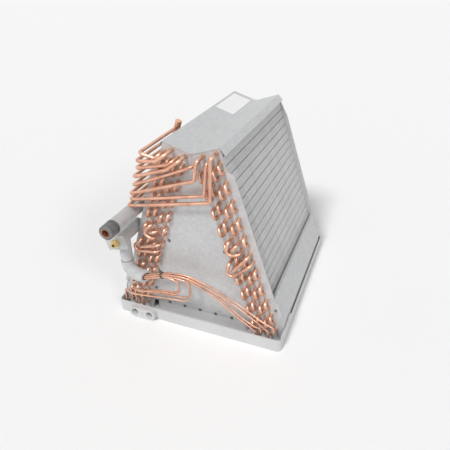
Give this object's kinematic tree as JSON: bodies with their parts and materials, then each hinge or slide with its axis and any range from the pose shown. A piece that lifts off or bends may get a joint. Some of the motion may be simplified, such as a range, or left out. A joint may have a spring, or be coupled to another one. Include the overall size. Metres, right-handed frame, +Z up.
{
  "type": "evaporator coil",
  "caption": "Uncased A-shaped evaporator coil with leaning finned slabs, copper return bends, suction header, feeder tubes, folded cap and moulded drain pan.",
  "frame": {"origin": "centre of the drain pan's underside", "axes": "+X to the right slab, +Y from the piping side to the back, +Z up"},
  "size_m": [0.524, 0.676, 0.568],
  "materials": {
    "pan": "moulded light grey plastic, fine satin grain",
    "fins": "thin bright mill-finish fins",
    "galvanised": "galvanised sheet with faint spangle",
    "copper": "drawn copper tube, lightly darkened at the brazed joints",
    "brass": "machined brass",
    "foam": "matt closed-cell foam",
    "rubber": "moulded black rubber",
    "tie": "nylon",
    "screw": "zinc plated"
  },
  "bodies": {
    "root": {"drain_pan": "pan", "left_fin_pack": "fins", "right_fin_pack": "fins", "left_front_tube_sheet": "galvanised", "left_rear_tube_sheet": "galvanised", "right_front_tube_sheet": "galvanised", "right_rear_tube_sheet": "galvanised", "front_delta_plate": "galvanised", "rear_delta_plate": "galvanised", "left_splash_guard": "galvanised", "right_splash_guard": "galvanised", "top_cap": "galvanised", "liquid_plate": "galvanised", "left_hairpin_tubes": "copper", "right_hairpin_tubes": "copper", "left_return_bends": "copper", "right_return_bends": "copper", "left_crossover_bends": "copper", "right_crossover_bends": "copper", "suction_header": "copper", "header_cap": "copper", "suction_line": "copper", "outlet_tube": "copper", "suction_tube_1": "copper", "suction_tube_2": "copper", "suction_tube_3": "copper", "suction_tube_4": "copper", "suction_tube_5": "copper", "suction_tube_6": "copper", "suction_tube_7": "copper", "suction_tube_8": "copper", "feeder_tube_1": "copper", "feeder_tube_2": "copper", "feeder_tube_3": "copper", "feeder_tube_4": "copper", "feeder_tube_5": "copper", "feeder_tube_6": "copper", "feeder_tube_7": "copper", "feeder_tube_8": "copper", "liquid_fitting": "brass", "valve_body": "brass", "distributor": "brass", "suction_sleeve": "foam", "valve_sleeve": "foam", "distributor_sleeve": "foam", "elbow_sleeve": "foam", "suction_grommet": "rubber", "cable_tie": "tie", "front_delta_screws": "screw", "rear_delta_screws": "screw", "guard_screws": "screw"}
  },
  "joints": []
}
